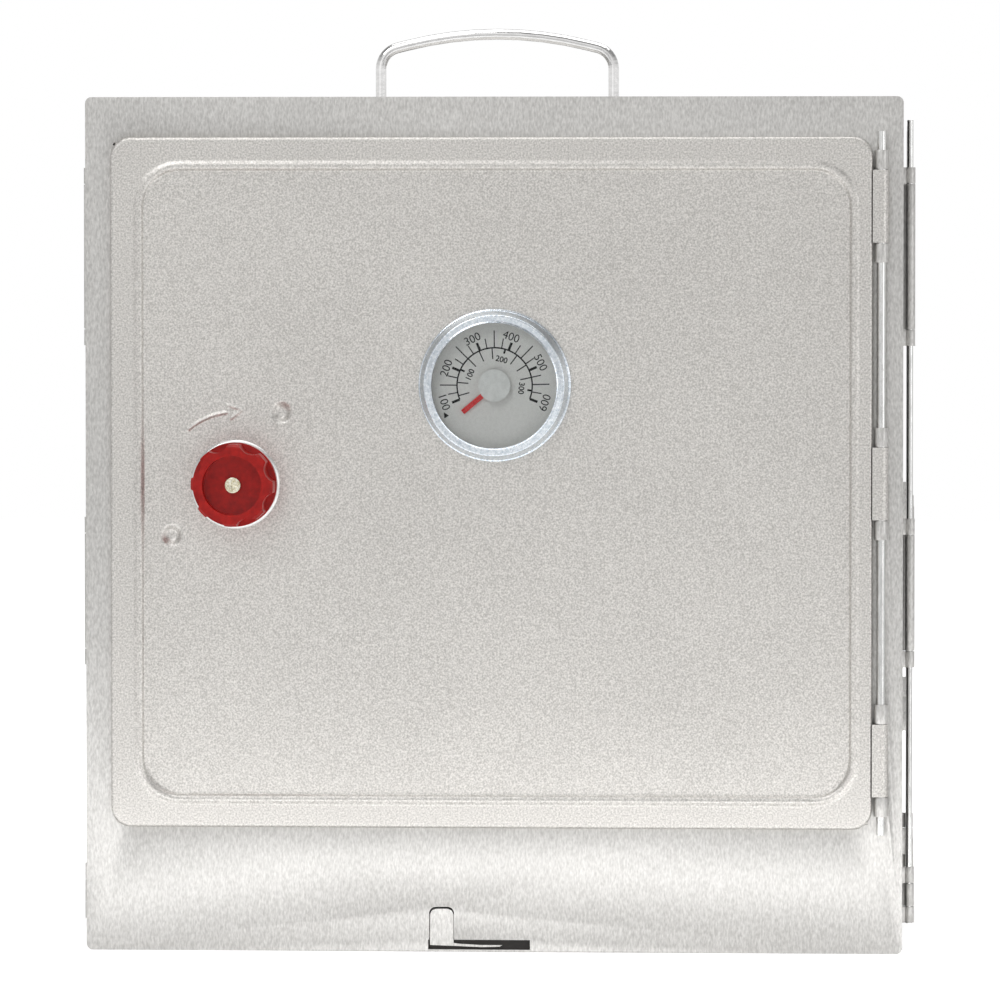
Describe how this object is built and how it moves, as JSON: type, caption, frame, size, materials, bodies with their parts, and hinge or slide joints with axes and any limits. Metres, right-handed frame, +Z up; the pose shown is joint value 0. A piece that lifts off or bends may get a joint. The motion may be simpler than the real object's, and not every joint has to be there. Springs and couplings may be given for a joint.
{
  "type": "folding camp oven",
  "caption": "Sheet-steel box oven with a hinged front door, latch knob, dial thermometer and wire handle, whose walls, top and base fold flat behind the front frame.",
  "frame": {"origin": "middle of the base, on the plane that the set-up oven stands on", "axes": "+Z up, +Y from the door to the back, +X to the right as seen from the door"},
  "size_m": [0.3138, 0.3213, 0.3445],
  "materials": {
    "aluminised_steel": "satin aluminised steel with a fine grain",
    "door_steel": "satin aluminised steel, speckled",
    "wire_steel": "bright zinc-plated wire",
    "handle_wire": "bright nickel-plated wire",
    "bezel_aluminium": "spun aluminium",
    "case_steel": "plain drawn steel",
    "dial_print": "satin dial with black printed scale",
    "dial_glass": "clear glass",
    "bimetal": "dull bimetal strip",
    "hub_plastic": "translucent white plastic",
    "needle_red": "gloss red paint",
    "knob_red": "moulded red plastic, semi-gloss",
    "zinc_fastener": "yellow zinc plate",
    "latch_steel": "zinc-plated steel",
    "rack_chrome": "bright chromed wire"
  },
  "bodies": {
    "frame": {"front_frame": "aluminised_steel", "door_hinge_wire": "wire_steel", "front_wall_wires": "wire_steel", "top_panel_wire": "wire_steel", "bottom_panel_wire": "wire_steel"},
    "handle": {"carry_handle": "handle_wire"},
    "door": {"door_panel": "door_steel", "thermometer_bezel": "bezel_aluminium", "thermometer_case": "case_steel", "dial_face": "dial_print", "dial_lens": "dial_glass", "bimetal_coil": "bimetal", "latch_bushing": "latch_steel", "latch_nut": "latch_steel"},
    "needle": {"needle_hub": "hub_plastic", "dial_needle": "needle_red"},
    "latch": {"latch_knob": "knob_red", "knob_screw": "zinc_fastener", "latch_shaft": "latch_steel", "latch_washer": "latch_steel", "latch_arm": "latch_steel"},
    "top": {"top_panel": "aluminised_steel"},
    "bottom": {"bottom_panel": "aluminised_steel", "wire_rack": "rack_chrome", "rack_clips": "latch_steel"},
    "left_front": {"left_front_wall": "aluminised_steel", "left_middle_wire": "wire_steel"},
    "left_rear": {"left_rear_wall": "aluminised_steel"},
    "right_front": {"right_front_wall": "aluminised_steel", "right_middle_wire": "wire_steel"},
    "right_rear": {"right_rear_wall": "aluminised_steel"},
    "back": {"back_tray": "aluminised_steel", "rear_wall_wires": "wire_steel", "rear_feet": "aluminised_steel"}
  },
  "joints": [
    {"name": "oven_fold", "type": "hinge", "parent": "frame", "child": "left_front", "pos_m": [-0.155, -0.1165, 0.16], "axis": [0, 0, -1], "range_deg": [0, 88.5]},
    {"name": "left_middle_hinge", "type": "hinge", "parent": "left_front", "child": "left_rear", "pos_m": [-0.155, 0.01, 0.16], "axis": [0, 0, 1], "range_deg": [0, 177]},
    {"name": "back_hinge", "type": "hinge", "parent": "left_rear", "child": "back", "pos_m": [-0.155, 0.1365, 0.16], "axis": [0, 0, -1], "range_deg": [0, 88.5]},
    {"name": "right_front_hinge", "type": "hinge", "parent": "frame", "child": "right_front", "pos_m": [0.155, -0.1165, 0.16], "axis": [0, 0, 1], "range_deg": [0, 88.5]},
    {"name": "right_middle_hinge", "type": "hinge", "parent": "right_front", "child": "right_rear", "pos_m": [0.155, 0.01, 0.16], "axis": [0, 0, -1], "range_deg": [0, 177]},
    {"name": "top_panel_fold", "type": "hinge", "parent": "frame", "child": "top", "pos_m": [0, -0.1245, 0.31705], "axis": [-1, 0, 0], "range_deg": [0, 90]},
    {"name": "bottom_panel_fold", "type": "hinge", "parent": "frame", "child": "bottom", "pos_m": [0, -0.1325, 0.00195], "axis": [1, 0, 0], "range_deg": [0, 90]},
    {"name": "door_swing", "type": "hinge", "parent": "frame", "child": "door", "pos_m": [0.1444, -0.1534, 0.175], "axis": [0, 0, -1], "range_deg": [-160, 0]},
    {"name": "latch_turn", "type": "hinge", "parent": "door", "child": "latch", "pos_m": [-0.0959, -0.1548, 0.1747], "axis": [0, 1, 0], "range_deg": [-122.75, 0]},
    {"name": "needle_turn", "type": "hinge", "parent": "door", "child": "needle", "pos_m": [0.0009, -0.1548, 0.2117], "axis": [0, 1, 0], "range_deg": [0, 250]},
    {"name": "handle_slide", "type": "slide", "parent": "frame", "child": "handle", "axis": [0, 0, 1], "range_m": [-0.01, 0]}
  ],
  "couplings": [
    {"joint": "left_middle_hinge", "follows": "oven_fold", "ratio": 2},
    {"joint": "back_hinge", "follows": "oven_fold", "ratio": 1},
    {"joint": "right_front_hinge", "follows": "oven_fold", "ratio": 1},
    {"joint": "right_middle_hinge", "follows": "oven_fold", "ratio": 2}
  ]
}
